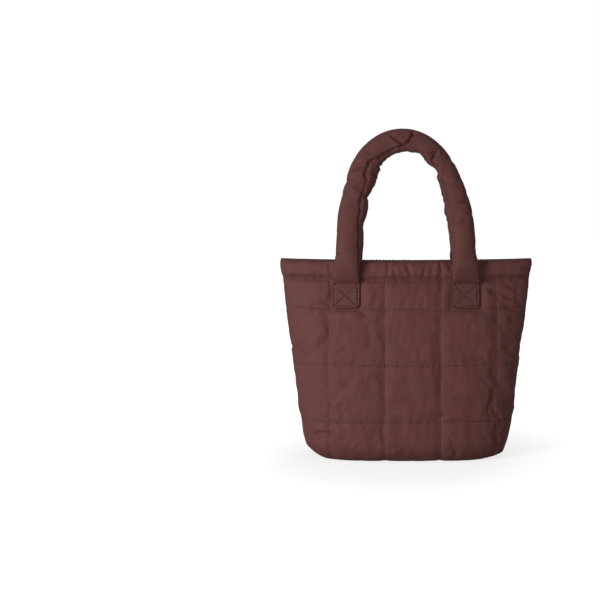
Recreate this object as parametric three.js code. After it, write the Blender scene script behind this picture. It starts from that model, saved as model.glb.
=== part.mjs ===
// A quilted puffer tote bag that stands on z = 0 with its front towards -Y. Millimetres, +Z up.
// Two padded panels are cut alike and turned half round from each other. They meet at the side
// seams and in the middle of the base. Each carries one stuffed tube handle with two flat ends.
import * as THREE from "three";

// The bag's outline, measured on the middle of its wall. At the sides the cloth rolls under the bag
// further than at the front, by SIDE_TUCK of the foot's radius.
const BAG_HEIGHT = 276;
const RIM_WIDTH = 351;
const FOOT_WIDTH = 270;
const RIM_DEPTH = 38;
const RIM_SAG = 4;
const FOOT_DEPTH = 134;
const FOOT_RADIUS = 24;
const SIDE_TUCK = 0.65;

// The padded wall
const SEAM_THICKNESS = 3;
const PUFF_HEIGHT = 4;
const PUFF_REACH = 20;
const HEM_FULLNESS = 1.6;
const FLOOR_FLATTENING = 2.2;
const PANEL_GAP = 0.3;

// The quilting lines, as distances on the cloth. A pull is the share of the puff that a line takes.
const QUILT_PITCH = 77;
const QUILT_SHIFT = 8.5;
const HEM_HEIGHT = 26;
const FIRST_ROW_DROP = 67;
const LEAST_CELL = 12;
const HEM_PULL = 0.9;
const LEVEL_PULL = 0.25;
const MIDDLE_PULL = 0.7;
const OUTER_PULL = 0.45;

// The handles
const HANDLE_SPREAD = 164;
const HANDLE_RISE = 162;
const HANDLE_WIDTH = 33;
const HANDLE_THICKNESS = 27;
const TAB_WIDTH = 38;
const TAB_LENGTH = 36;
const TAB_DROP = 30;
const TAB_THICKNESS = 3;
const HANDLE_CLEARANCE = 0.5;
const HEM_REST = 9;

// Plan sections from floor to rim. up: share of the height. wide: share of the way from the foot's
// width to the rim's. deep: share of the way from the rim's depth to the foot's. side and face:
// roundness at the side seam and on the face, where 2 is an ellipse and more is squarer.
const SECTIONS = [
  { up: 0.0, wide: -0.02, deep: 1.0, side: 3.2, face: 3.2 },
  { up: 0.1, wide: 0.08, deep: 0.94, side: 3.1, face: 3.1 },
  { up: 0.22, wide: 0.23, deep: 0.83, side: 3.0, face: 2.9 },
  { up: 0.47, wide: 0.47, deep: 0.65, side: 2.7, face: 2.4 },
  { up: 0.76, wide: 0.77, deep: 0.4, side: 2.35, face: 1.8 },
  { up: 0.91, wide: 0.91, deep: 0.22, side: 2.15, face: 1.45 },
  { up: 1.0, wide: 1.0, deep: 0.0, side: 2.0, face: 1.25 },
];

// Folds and dents of a panel. across: share of the panel's half width, drop: share of the height,
// both to the middle of the fold. lean: degrees from upright. long and broad: shares of a quilting
// cell. depth: share of the puff height, inwards where it is negative.
const FOLDS = [
  { across: -0.72, drop: 0.87, lean: 50, long: 0.24, broad: 0.13, depth: -0.7 },
  { across: -0.7, drop: 0.42, lean: 40, long: 0.3, broad: 0.14, depth: -0.45 },
  { across: -0.76, drop: 0.24, lean: 55, long: 0.25, broad: 0.12, depth: -0.4 },
  { across: 0.8, drop: 0.22, lean: -65, long: 0.35, broad: 0.15, depth: -0.5 },
  { across: 0.84, drop: 0.46, lean: -50, long: 0.3, broad: 0.16, depth: -0.4 },
  { across: 0.8, drop: 0.8, lean: -20, long: 0.35, broad: 0.13, depth: -0.6 },
  { across: 0.4, drop: 0.93, lean: 10, long: 0.2, broad: 0.12, depth: -0.4 },
];

// The handle's middle line above the rim. across: share of half the spread. up: share of the rise.
// lean: share of the way in from the rim to the handle behind it.
const ARCH = [
  { across: -0.967, up: 0.055, lean: 0.08 },
  { across: -0.951, up: 0.196, lean: 0.27 },
  { across: -0.936, up: 0.343, lean: 0.44 },
  { across: -0.889, up: 0.483, lean: 0.6 },
  { across: -0.813, up: 0.625, lean: 0.755 },
  { across: -0.72, up: 0.758, lean: 0.88 },
  { across: -0.553, up: 0.879, lean: 0.965 },
  { across: -0.329, up: 0.963, lean: 1 },
  { across: -0.045, up: 0.993, lean: 1 },
  { across: 0.224, up: 0.961, lean: 1 },
  { across: 0.447, up: 0.876, lean: 0.965 },
  { across: 0.623, up: 0.758, lean: 0.88 },
  { across: 0.749, up: 0.632, lean: 0.76 },
  { across: 0.846, up: 0.493, lean: 0.61 },
  { across: 0.909, up: 0.355, lean: 0.45 },
  { across: 0.943, up: 0.209, lean: 0.29 },
  { across: 0.957, up: 0.068, lean: 0.1 },
];

// How the flat tab swells into the tube, from the tab's lower edge up. rise: share of the way up
// from there to the rim. wide: share of the way from the tube's width to the tab's. thick: share of
// the way from the tab's thickness to the tube's. square: how square the section is. inward: how far
// it has moved to the bag's middle, as a share of half the spread.
const LEG = [
  { rise: 0.0, wide: -0.2, thick: 0.0, square: 8, inward: 0 },
  { rise: 0.05, wide: 1.0, thick: 0.0, square: 8, inward: 0 },
  { rise: 0.28, wide: 1.0, thick: 0.0, square: 8, inward: 0 },
  { rise: 0.52, wide: 1.0, thick: 0.0, square: 8, inward: 0 },
  { rise: 0.57, wide: 0.9, thick: 0.2, square: 4.5, inward: 0.001 },
  { rise: 0.64, wide: 0.72, thick: 0.42, square: 3, inward: 0.003 },
  { rise: 0.74, wide: 0.5, thick: 0.62, square: 2.6, inward: 0.008 },
  { rise: 0.87, wide: 0.25, thick: 0.78, square: 2.3, inward: 0.017 },
  { rise: 1.0, wide: 0.08, thick: 0.88, square: 2.2, inward: 0.027 },
];

// The handle's inner edge. at: share of the way round the arch. kept: distance from the middle line,
// as a share of half the width. It bites in where the cloth gathers and bulges where it folds over.
const INNER_EDGE = [
  { at: 0, kept: 1 },
  { at: 0.04, kept: 1.06 },
  { at: 0.083, kept: 1.1 },
  { at: 0.139, kept: 1.06 },
  { at: 0.186, kept: 1.2 },
  { at: 0.209, kept: 1.23 },
  { at: 0.246, kept: 1.1 },
  { at: 0.269, kept: 1.22 },
  { at: 0.292, kept: 1.31 },
  { at: 0.32, kept: 1.335 },
  { at: 0.348, kept: 1.29 },
  { at: 0.364, kept: 1.22 },
  { at: 0.381, kept: 1.02 },
  { at: 0.399, kept: 0.99 },
  { at: 0.446, kept: 0.99 },
  { at: 0.474, kept: 0.88 },
  { at: 0.502, kept: 0.75 },
  { at: 0.548, kept: 0.68 },
  { at: 0.568, kept: 0.57 },
  { at: 0.59, kept: 0.62 },
  { at: 0.618, kept: 0.71 },
  { at: 0.645, kept: 0.57 },
  { at: 0.664, kept: 0.56 },
  { at: 0.687, kept: 0.75 },
  { at: 0.715, kept: 0.91 },
  { at: 0.762, kept: 0.98 },
  { at: 0.817, kept: 1.06 },
  { at: 0.873, kept: 1.01 },
  { at: 0.896, kept: 0.95 },
  { at: 0.96, kept: 0.92 },
  { at: 1, kept: 1 },
];

// How finely the shapes are divided
const SECTION_STEPS = 60;
const CELL_LINES = [0.1, 0.3, 0.7, 0.9];
const CLOSEST_LINES = 5;
const FOOT_STEPS = 4;
const HANDLE_SIDES = 12;
const HANDLE_STEP = 10;

const PRESSED_LOFT = 0.3;
const PRESS_FADE = 9;

const baseLift = SEAM_THICKNESS / 2 + PUFF_HEIGHT - FLOOR_FLATTENING;
const wallDrop = BAG_HEIGHT - baseLift - FOOT_RADIUS;
const footDrop = wallDrop + (FOOT_RADIUS * Math.PI) / 2;

function mix(from, to, share) {
  return from + (to - from) * share;
}

function smooth(share) {
  const s = Math.min(Math.max(share, 0), 1);
  return s * s * (3 - 2 * s);
}

// A value of a table's column at any place between its rows
function readTable(table, key, at, column) {
  const last = table.length - 1;
  const next = table.findIndex((row) => row[key] >= at);
  const high = next < 0 ? last : Math.max(next, 1);
  const [a, b] = [table[high - 1], table[high]];
  return mix(a[column], b[column], (at - a[key]) / (b[key] - a[key]));
}

// The wall in plan at a height: a curve from the middle of the face to the right side seam
function sectionAt(height) {
  const up = Math.min(height / BAG_HEIGHT, 1);
  const read = (column) => readTable(SECTIONS, "up", up, column);
  const halfWidth = mix(FOOT_WIDTH, RIM_WIDTH, read("wide")) / 2;
  const halfDepth = mix(RIM_DEPTH, FOOT_DEPTH, read("deep")) / 2;
  const points = [];
  for (let i = 0; i <= SECTION_STEPS; i++) {
    const turn = (Math.PI / 2) * (i / SECTION_STEPS);
    const x = halfWidth * Math.max(Math.sin(turn), 0) ** (2 / read("side"));
    const y = -halfDepth * Math.max(Math.cos(turn), 0) ** (2 / read("face"));
    points.push(new THREE.Vector2(x, y));
  }
  const curve = new THREE.SplineCurve(points);
  curve.arcLengthDivisions = 4 * SECTION_STEPS;
  return curve;
}

const sections = new Map();

function sectionOnce(height) {
  const key = height.toFixed(4);
  if (!sections.has(key)) sections.set(key, sectionAt(height));
  return sections.get(key);
}

const panelHalf = sectionOnce(BAG_HEIGHT).getLength();

// A point on the middle of the wall, where across and drop are distances on the cloth from the
// middle of the rim. Below the wall's end the cloth rolls under the bag. The rim sags between its
// ends, and the cloth under it less and less.
function wallPoint(across, drop) {
  const roll = Math.max(drop - wallDrop, 0) / FOOT_RADIUS;
  const straight = Math.min(drop, wallDrop);
  const height = BAG_HEIGHT - straight - FOOT_RADIUS * Math.sin(roll);
  const inset = FOOT_RADIUS * (1 - Math.cos(roll));
  const section = sectionOnce(height);
  const share = Math.min(Math.abs(across) / panelHalf, 1);
  const point = section.getPointAt(share);
  const tangent = section.getTangentAt(share);
  const side = Math.sign(across) || 1;
  const sag = RIM_SAG * (1 - share * share) * (1 - smooth(drop / wallDrop));
  return new THREE.Vector3(
    side * (point.x - inset * tangent.y * (1 + SIDE_TUCK * tangent.y)),
    point.y + inset * tangent.x,
    height - sag,
  );
}

function wallNormal(across, drop) {
  const step = 1;
  const right = wallPoint(across + step, drop).sub(wallPoint(across - step, drop));
  const down = wallPoint(across, drop + step).sub(wallPoint(across, drop - step));
  return down.cross(right).normalize();
}

// The place along a section where it turns from the face to the side
function cornerOf(section) {
  for (let i = 1; i < SECTION_STEPS; i++) {
    const tangent = section.getTangentAt(i / SECTION_STEPS);
    if (tangent.y > tangent.x) return (panelHalf * i) / SECTION_STEPS;
  }
  return panelHalf / 2;
}

const corner = cornerOf(sectionOnce(baseLift));
const footHalfDepth = -wallPoint(0, footDrop).y;

// The upright quilting lines that fit on a panel, and the level ones from the hem to the base
const upright = [];
for (let k = -9; k < 9; k++) {
  const across = QUILT_SHIFT + (k + 0.5) * QUILT_PITCH;
  const pull = Math.abs(across) < QUILT_PITCH ? MIDDLE_PULL : OUTER_PULL;
  if (Math.abs(across) < panelHalf - LEAST_CELL) upright.push({ at: across, pull });
}
const level = [{ at: HEM_HEIGHT, pull: HEM_PULL }];
for (let at = FIRST_ROW_DROP; at < footDrop + footHalfDepth; at += QUILT_PITCH) {
  level.push({ at, pull: LEVEL_PULL });
}

// How full the wall is at a distance from a seam, from 0 on the seam to 1
function fullness(distance) {
  const near = 1 - Math.min(Math.abs(distance) / PUFF_REACH, 1);
  return Math.sqrt(1 - near * near);
}

function seamFactor(distance, pull) {
  return 1 - pull * (1 - fullness(distance));
}

// How far a handle's tab presses a place of the panel flat
function pressAt(across, drop) {
  const beside = Math.abs(Math.abs(across) - HANDLE_SPREAD / 2) - TAB_WIDTH / 2;
  const below = Math.abs(drop - TAB_DROP - TAB_LENGTH / 2) - TAB_LENGTH / 2;
  return 1 - smooth((Math.max(beside, below) - 2) / PRESS_FADE);
}

function foldDepth(across, drop) {
  let depth = 0;
  for (const fold of FOLDS) {
    const lean = THREE.MathUtils.degToRad(fold.lean);
    const dx = across - fold.across * panelHalf;
    const dz = drop - fold.drop * BAG_HEIGHT;
    const along = (dx * Math.sin(lean) + dz * Math.cos(lean)) / (fold.long * QUILT_PITCH);
    const beside = (dx * Math.cos(lean) - dz * Math.sin(lean)) / (fold.broad * QUILT_PITCH);
    depth += fold.depth * PUFF_HEIGHT * Math.exp(-along * along - beside * beside);
  }
  return depth;
}

// How full a place of the panel is, from 0 at a tight seam to 1. The hem is a fuller roll.
function loftAt(across, drop) {
  const fromSide = seamFactor(panelHalf - Math.abs(across), 1);
  if (drop < HEM_HEIGHT) {
    const place = (2 * drop) / HEM_HEIGHT - 1;
    const roll = HEM_FULLNESS * Math.sqrt(Math.max(1 - place * place, 0));
    return mix(roll * fromSide, PRESSED_LOFT, pressAt(across, drop));
  }
  let loft = fromSide;
  for (const seam of upright) loft *= seamFactor(across - seam.at, seam.pull);
  for (const seam of level) loft *= seamFactor(drop - seam.at, seam.pull);
  if (Math.abs(across) >= corner) loft *= seamFactor(drop - footDrop, 1);
  return mix(loft, PRESSED_LOFT, pressAt(across, drop));
}

// Lines of a grid: all that must be there, and others that aren't too close to them
function gridLines(must, wanted) {
  const kept = [];
  for (const line of [...must, ...wanted]) {
    if (kept.every((k) => Math.abs(k - line) >= CLOSEST_LINES)) kept.push(line);
  }
  return kept.sort((a, b) => a - b);
}

function linesBetween(seams) {
  return seams.slice(1).flatMap((end, i) => CELL_LINES.map((s) => mix(seams[i], end, s)));
}

function panelColumns() {
  const seams = upright.map((seam) => seam.at);
  const tabEdges = [-1, 1].flatMap((side) =>
    [-1, 1].map((edge) => (side * HANDLE_SPREAD + edge * TAB_WIDTH) / 2),
  );
  const inFace = (at) => Math.abs(at) < corner - CLOSEST_LINES;
  const face = gridLines(
    [-corner, corner, ...seams.filter(inFace), ...tabEdges.filter(inFace)],
    linesBetween([-corner, ...seams.filter(inFace), corner]),
  );
  const sideSeams = seams.map(Math.abs).filter((at) => at > corner + CLOSEST_LINES);
  const side = gridLines(
    [corner, panelHalf, ...sideSeams],
    linesBetween([corner, ...sideSeams.slice(0, 1), panelHalf]),
  ).slice(1);
  return { face, side };
}

function panelRows() {
  const seams = level.map((seam) => seam.at).filter((at) => at < wallDrop);
  const ends = [0, ...seams, wallDrop];
  const wall = gridLines(ends, [TAB_DROP, ...linesBetween(ends)]);
  for (let i = 1; i <= FOOT_STEPS; i++) {
    wall.push(mix(wallDrop, footDrop, i / FOOT_STEPS));
  }
  return wall;
}

// The middle of one panel's wall as a grid of points, each with its loft and its folds
function panelMiddle() {
  const { face, side } = panelColumns();
  const rows = panelRows();
  const columns = [...side.map((at) => -at).reverse(), ...face, ...side];
  const places = [];
  const faces = [];
  const add = (point, loft, fold) => places.push({ point, loft, fold }) - 1;
  const addQuad = (a, b, c, d) => faces.push([a, b, c], [a, c, d]);

  const wall = rows.map((drop) =>
    columns.map((across) =>
      add(
        wallPoint(across, drop),
        loftAt(across, drop),
        foldDepth(across, drop) * (1 - pressAt(across, drop)),
      ),
    ),
  );
  for (let r = 1; r < rows.length; r++) {
    for (let c = 1; c < columns.length; c++) {
      addQuad(wall[r - 1][c - 1], wall[r][c - 1], wall[r][c], wall[r - 1][c]);
    }
  }

  // The half of the base, a sheet between the roll's end and the middle seam under the bag
  const foot = wall[rows.length - 1];
  const left = foot.slice(0, side.length + 1).reverse();
  const right = foot.slice(-side.length - 1);
  const front = foot.slice(side.length, side.length + face.length);
  const at = (index) => places[index].point;
  const base = [front];
  for (let r = 1; r <= side.length; r++) {
    const down = (side[r - 1] - corner) / (panelHalf - corner);
    const row = front.map((index, c) => {
      if (c === 0) return left[r];
      if (c === face.length - 1) return right[r];
      const share = (face[c] - face[0]) / (face[face.length - 1] - face[0]);
      const start = at(front[c]);
      const ends = at(left[r]).clone().lerp(at(right[r]), share);
      const frontEnds = at(left[0]).clone().lerp(at(right[0]), share);
      const sag = start.clone().sub(frontEnds).multiplyScalar(1 - down);
      const point = ends.add(sag);
      const drop = footDrop + footHalfDepth * down;
      const fromEnd = Math.min(point.x - at(left[r]).x, at(right[r]).x - point.x);
      const loft = loftAt(face[c], drop) * seamFactor(fromEnd, 1);
      return add(point, loft * seamFactor(footHalfDepth * (1 - down), 1), 0);
    });
    for (let c = 1; c < face.length; c++) {
      addQuad(base[r - 1][c - 1], row[c - 1], row[c], base[r - 1][c]);
    }
    base.push(row);
  }
  return { places, faces };
}

function surfaceNormals(points, faces) {
  const geometry = new THREE.BufferGeometry().setFromPoints(points);
  geometry.setIndex(faces.flat());
  geometry.computeVertexNormals();
  const normals = geometry.getAttribute("normal");
  return points.map((_, i) => new THREE.Vector3().fromBufferAttribute(normals, i));
}

// Edges of an open surface that only one triangle has, in that triangle's direction
function rimEdges(faces) {
  const edges = new Map();
  for (const [a, b, c] of faces) {
    for (const [from, to] of [[a, b], [b, c], [c, a]]) {
      if (!edges.delete(`${to},${from}`)) edges.set(`${from},${to}`, [from, to]);
    }
  }
  return [...edges.values()];
}

function solidFrom(points, faces) {
  const geometry = new THREE.BufferGeometry().setFromPoints(points);
  geometry.setIndex(faces.flat());
  geometry.computeVertexNormals();
  return geometry;
}

// A padded panel as one closed solid: its outer face, its inner face and the raw edge round them
function makePanel() {
  const { places, faces } = panelMiddle();
  const normals = surfaceNormals(places.map((place) => place.point), faces);
  const count = places.length;
  const sides = [1, -1].flatMap((outwards) =>
    places.map(({ point, loft, fold }, i) => {
      const reach = outwards * (SEAM_THICKNESS / 2 + PUFF_HEIGHT * loft) + fold;
      const moved = point.clone().addScaledVector(normals[i], reach);
      moved.y = Math.min(moved.y, -PANEL_GAP / 2);
      moved.z = Math.min(Math.max(moved.z, 0), BAG_HEIGHT);
      return moved;
    }),
  );
  const inner = faces.map(([a, b, c]) => [a + count, c + count, b + count]);
  const edge = rimEdges(faces).flatMap(([a, b]) => [
    [b, a, a + count],
    [b, a + count, b + count],
  ]);
  return solidFrom(sides, [...faces, ...inner, ...edge]);
}

// A point on the outer face of a panel. By the rim it stays as far out as the hem's padding.
function facePoint(across, drop) {
  const reach = SEAM_THICKNESS / 2 + PUFF_HEIGHT * loftAt(across, Math.max(drop, HEM_REST));
  return wallPoint(across, drop).addScaledVector(wallNormal(across, drop), reach);
}

// The stretch of a handle from its tab up to the rim, lying on the panel's face
function legStations(side) {
  return LEG.map(({ rise, wide, thick, square, inward }) => {
    const across = (side * HANDLE_SPREAD * (1 - inward)) / 2;
    const drop = (TAB_DROP + TAB_LENGTH) * (1 - rise);
    const width = mix(HANDLE_WIDTH, TAB_WIDTH, wide);
    const thickness = mix(TAB_THICKNESS, HANDLE_THICKNESS, thick);
    const out = wallNormal(across, Math.max(drop, 1));
    const centre = facePoint(across, drop)
      .addScaledVector(out, HANDLE_CLEARANCE + thickness / 2);
    return { centre, out, width, thickness, square, arch: side < 0 ? 0 : 1 };
  });
}

// The stretch above the rim, which leans in until the two handles nearly touch. The back handle is
// the front one's mirror image, so that one hides the other from the front.
function archStations(rim, mirrored) {
  const start = rim.centre.y;
  const end = -(HANDLE_THICKNESS + HANDLE_CLEARANCE) / 2;
  const marks = mirrored
    ? ARCH.map((mark) => ({ ...mark, across: -mark.across })).reverse()
    : ARCH;
  return marks.map(({ across, up, lean }, i) => ({
    centre: new THREE.Vector3(
      (across * HANDLE_SPREAD) / 2,
      mix(start, end, lean),
      BAG_HEIGHT + up * HANDLE_RISE,
    ),
    out: new THREE.Vector3(0, -1, 0),
    width: HANDLE_WIDTH,
    thickness: HANDLE_THICKNESS,
    square: rim.square,
    arch: (i + 1) / (ARCH.length + 1),
  }));
}

function handleStations(mirrored) {
  const left = legStations(-1);
  const right = legStations(1).reverse();
  const marks = [...left, ...archStations(left[left.length - 1], mirrored), ...right];
  const path = new THREE.CatmullRomCurve3(marks.map((mark) => mark.centre));
  const stations = [];
  for (let i = 0; i < marks.length - 1; i++) {
    const [a, b] = [marks[i], marks[i + 1]];
    const steps = Math.max(1, Math.round(a.centre.distanceTo(b.centre) / HANDLE_STEP));
    for (let k = 0; k < steps + (i === marks.length - 2 ? 1 : 0); k++) {
      const share = k / steps;
      const t = (i + share) / (marks.length - 1);
      stations.push({
        centre: path.getPoint(t),
        along: path.getTangent(t),
        out: a.out.clone().lerp(b.out, share).normalize(),
        width: mix(a.width, b.width, share),
        thickness: mix(a.thickness, b.thickness, share),
        square: mix(a.square, b.square, share),
        arch: mix(a.arch, b.arch, share),
      });
    }
  }
  return stations;
}


// A handle as one closed tube: a ring of points round each station, and a cap on each tab's end
function makeHandle(mirrored) {
  const stations = handleStations(mirrored);
  const points = [];
  for (const { centre, along, out, width, thickness, square, arch } of stations) {
    const right = new THREE.Vector3().crossVectors(along, out).normalize();
    for (let i = 0; i < HANDLE_SIDES; i++) {
      const turn = ((i + 0.5) / HANDLE_SIDES) * 2 * Math.PI;
      const round = (value) => Math.sign(value) * Math.abs(value) ** (2 / square);
      const inside = Math.max(Math.cos(turn), 0);
      const edge = readTable(INNER_EDGE, "at", mirrored ? 1 - arch : arch, "kept");
      const kept = mix(1, edge, inside);
      points.push(
        centre
          .clone()
          .addScaledVector(right, (round(Math.cos(turn)) * width * kept) / 2)
          .addScaledVector(out, (round(Math.sin(turn)) * thickness) / 2),
      );
    }
  }
  const faces = [];
  const at = (ring, i) => ring * HANDLE_SIDES + (i % HANDLE_SIDES);
  for (let ring = 1; ring < stations.length; ring++) {
    for (let i = 0; i < HANDLE_SIDES; i++) {
      const [a, b, c, d] = [at(ring - 1, i), at(ring - 1, i + 1), at(ring, i + 1), at(ring, i)];
      faces.push([a, c, b], [a, d, c]);
    }
  }
  const last = stations.length - 1;
  for (let i = 1; i < HANDLE_SIDES - 1; i++) {
    faces.push([at(0, 0), at(0, i), at(0, i + 1)]);
    faces.push([at(last, 0), at(last, i + 1), at(last, i)]);
  }
  return solidFrom(points, faces);
}

const cloth = new THREE.MeshStandardMaterial({ color: 0x603d3b, roughness: 0.85, metalness: 0 });
const handleCloth = new THREE.MeshStandardMaterial({
  color: 0x5c3936,
  roughness: 0.85,
  metalness: 0,
});

function namedMesh(name, geometry, material) {
  const mesh = new THREE.Mesh(geometry, material);
  mesh.name = name;
  return mesh;
}

// One side of the bag: a panel with its handle
function makeSide(name, mirrored) {
  const side = new THREE.Group();
  side.add(namedMesh(`${name}_panel`, makePanel(), cloth));
  side.add(namedMesh(`${name}_handle`, makeHandle(mirrored), handleCloth));
  return side;
}

const tote = new THREE.Group();
const front = makeSide("front", false);
const back = makeSide("back", true);
back.rotation.z = Math.PI;
tote.add(front, back);

export default tote;
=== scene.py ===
import math

import bpy
import numpy as np
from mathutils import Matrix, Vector
from mathutils.bvhtree import BVHTree


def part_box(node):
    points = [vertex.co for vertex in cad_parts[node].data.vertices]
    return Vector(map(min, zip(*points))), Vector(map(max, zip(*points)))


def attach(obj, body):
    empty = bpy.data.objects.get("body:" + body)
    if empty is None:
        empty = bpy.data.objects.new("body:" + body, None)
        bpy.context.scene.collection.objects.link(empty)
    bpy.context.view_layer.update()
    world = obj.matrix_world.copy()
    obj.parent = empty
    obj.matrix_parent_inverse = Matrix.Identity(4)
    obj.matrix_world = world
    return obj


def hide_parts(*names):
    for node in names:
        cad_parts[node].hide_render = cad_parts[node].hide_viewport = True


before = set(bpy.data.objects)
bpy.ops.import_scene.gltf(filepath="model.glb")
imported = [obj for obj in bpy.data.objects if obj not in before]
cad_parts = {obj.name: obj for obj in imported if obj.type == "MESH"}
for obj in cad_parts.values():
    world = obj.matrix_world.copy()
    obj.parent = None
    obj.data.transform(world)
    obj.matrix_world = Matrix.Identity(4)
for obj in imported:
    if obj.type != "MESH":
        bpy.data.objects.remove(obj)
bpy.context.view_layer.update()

# A quilted puffer tote bag on a white floor. The frame is in metres and the shapes here are worked
# out in millimetres. Places on a panel are cloth coordinates: across from the panel's middle, and
# drop from the rim, both measured along the cloth.
MM = 0.001
_, bag_high = (np.array(corner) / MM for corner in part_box("front_panel"))

# Sizes of the bag, the same as those of its solids, apart from PANEL_GAP. The solids leave 0.3 mm
# between the panels, and here the two cloths nearly touch along their seam, so that no light shows
# through. A point nearer to the seam than SEAM_CLOSE is put at the gap's edge.
BAG_HEIGHT = float(bag_high[2])
RIM_WIDTH = 351.0
FOOT_WIDTH = 270.0
RIM_DEPTH = 38.0
RIM_SAG = 4.0
FOOT_DEPTH = 134.0
FOOT_RADIUS = 24.0
SIDE_TUCK = 0.65
SEAM_THICKNESS = 3.0
BASE_LIFT = 3.3
PANEL_GAP = 0.024
SEAM_CLOSE = 0.5

# Plan sections: height and width and depth as shares, and the roundness at the side and the face
SECTIONS = np.array([
    # up, wide, deep, side, face
    (0.0, -0.02, 1.0, 3.2, 3.2),
    (0.1, 0.08, 0.94, 3.1, 3.1),
    (0.22, 0.23, 0.83, 3.0, 2.9),
    (0.47, 0.47, 0.65, 2.7, 2.4),
    (0.76, 0.77, 0.4, 2.35, 1.8),
    (0.91, 0.91, 0.22, 2.15, 1.45),
    (1.0, 1.0, 0.0, 2.0, 1.25),
])

# Quilting, on the cloth
QUILT_PITCH = 77.0
QUILT_SHIFT = 8.5
HEM_HEIGHT = 26.0
FIRST_ROW_DROP = 67.0
CLOTH_STEP = 3.3
PUFF_HEIGHT = 4.0
PUFF_REACH = 20.0
HEM_FULLNESS = 1.6
HEM_SKEW = 0.7
PRESSED_LOFT = 0.3
HEM_PULL = 0.9
LEVEL_PULL = 0.12
MIDDLE_PULL = 0.5
OUTER_PULL = 0.25

# Handles
HANDLE_SPREAD = 164.0
HANDLE_RISE = 162.0
HANDLE_WIDTH = 33.0
HANDLE_THICKNESS = 27.0
TAB_WIDTH = 38.0
TAB_LENGTH = 36.0
TAB_DROP = 30.0
TAB_THICKNESS = 3.0
TAB_CORNER = 5.0
TAB_GROOVE = 1.5
TAB_GROOVE_WIDTH = 1.3
HANDLE_CLEARANCE = 0.5
HEM_REST = 9.0
TUBE_SQUARENESS = 2.2
HANDLE_SIDES = 36
HANDLE_STEP = 2.8

# The handle's middle line above the rim: across and up and lean as shares
ARCH = [
    (-0.967, 0.055, 0.08), (-0.951, 0.196, 0.27), (-0.936, 0.343, 0.44), (-0.889, 0.483, 0.6),
    (-0.813, 0.625, 0.755), (-0.72, 0.758, 0.88), (-0.553, 0.879, 0.965), (-0.329, 0.963, 1),
    (-0.045, 0.993, 1), (0.224, 0.961, 1), (0.447, 0.876, 0.965), (0.623, 0.758, 0.88),
    (0.749, 0.632, 0.76), (0.846, 0.493, 0.61), (0.909, 0.355, 0.45), (0.943, 0.209, 0.29),
    (0.957, 0.068, 0.1),
]
# How the flat tab swells into the tube: rise, wide, thick, square, inward. Here the leg moves a bit
# further inward at the rim than in the solids, to meet the arch without a step.
LEG = [
    (0.0, 1.0, 0.0, 8.0, 0.0), (0.28, 1.0, 0.0, 8.0, 0.0), (0.52, 1.0, 0.0, 8.0, 0.0),
    (0.57, 0.9, 0.2, 4.5, 0.002), (0.64, 0.72, 0.42, 3.0, 0.007), (0.74, 0.5, 0.62, 2.6, 0.018),
    (0.87, 0.25, 0.78, 2.3, 0.034), (1.0, 0.05, 0.88, 2.2, 0.054),
]

# The handle's inner edge: place along the arch, and distance from the middle line as a share of half
# the width. It bites in where the cloth gathers and bulges where it folds over.
INNER_EDGE = np.array([
    (0, 1), (0.04, 1.06), (0.083, 1.1), (0.139, 1.06), (0.186, 1.2), (0.209, 1.23), (0.246, 1.1),
    (0.269, 1.22), (0.292, 1.31), (0.32, 1.335), (0.348, 1.29), (0.364, 1.22), (0.381, 1.02),
    (0.399, 0.99), (0.446, 0.99), (0.474, 0.88), (0.502, 0.75), (0.548, 0.68), (0.568, 0.57),
    (0.59, 0.62), (0.618, 0.71), (0.645, 0.57), (0.664, 0.56), (0.687, 0.75), (0.715, 0.91),
    (0.762, 0.98), (0.817, 1.06), (0.873, 1.01), (0.896, 0.95), (0.96, 0.92), (1, 1),
])

# Folds of a panel: marks as across and drop on the cloth, then how broad and how deep the fold is
PANEL_FOLDS = [
    ([(-101, 57), (-113, 58), (-125, 65), (-128, 73)], 3.2, 2.4),
    ([(-105, 80), (-105, 105), (-116, 117)], 3.5, 2.0),
    ([(-107, 126), (-109, 142)], 3.0, 1.3),
    ([(-150, 117), (-148, 131)], 6.2, 1.3),
    ([(-47, 101), (-51, 121)], 3.2, 0.9),
    ([(-37, 46), (-48, 63)], 3.2, 1.1),
    ([(-46, 36), (-54, 52)], 2.8, 0.9),
    ([(-54, 73), (-63, 86)], 3.0, 0.8),
    ([(-80, 76), (-88, 82)], 2.8, 0.7),
    ([(-68, 124), (-68, 164)], 3.2, 0.7),
    ([(-130, 248), (-120, 241), (-101, 236)], 3.8, 2.9),
    ([(-98, 222), (-109, 230)], 3.2, 1.1),
    ([(-37, 231), (-51, 258)], 6.2, 1.3),
    ([(-76, 198), (-72, 212)], 2.8, 0.7),
    ([(111, 42), (130, 45), (139, 50), (161, 61)], 3.2, 2.4),
    ([(128, 124), (143, 127), (156, 140)], 4.2, 1.1),
    ([(115, 178), (119, 210), (133, 219)], 3.2, 2.0),
    ([(119, 153), (134, 181)], 5.0, 0.9),
    ([(39, 217), (48, 212), (63, 209)], 3.0, 1.1),
    ([(97, 208), (117, 216)], 3.0, 1.1),
    ([(120, 239), (132, 255)], 3.5, 1.1),
    ([(64, 255), (71, 265)], 4.4, 2.4),
    ([(24, 54), (20, 65)], 2.5, 0.8),
    ([(18, 124), (19, 138)], 2.5, 0.8),
    ([(-26, 3), (-25, 25)], 1.8, 2.1),
    ([(-18, 14), (-14, 25)], 1.8, 1.4),
    ([(2, 8), (6, 25)], 2.0, 2.2),
    ([(12, 2), (13, 9)], 1.8, 1.3),
    ([(27, 12), (24, 25)], 1.8, 1.6),
    ([(37, 6), (36, 20)], 1.8, 1.1),
    ([(47, 4), (48, 25)], 2.0, 2.1),
    ([(56, 3), (59, 14)], 1.8, 1.6),
    ([(63, 4), (61, 16)], 1.8, 1.3),
    ([(-104, 4), (-101, 24)], 1.8, 1.3),
]

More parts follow.
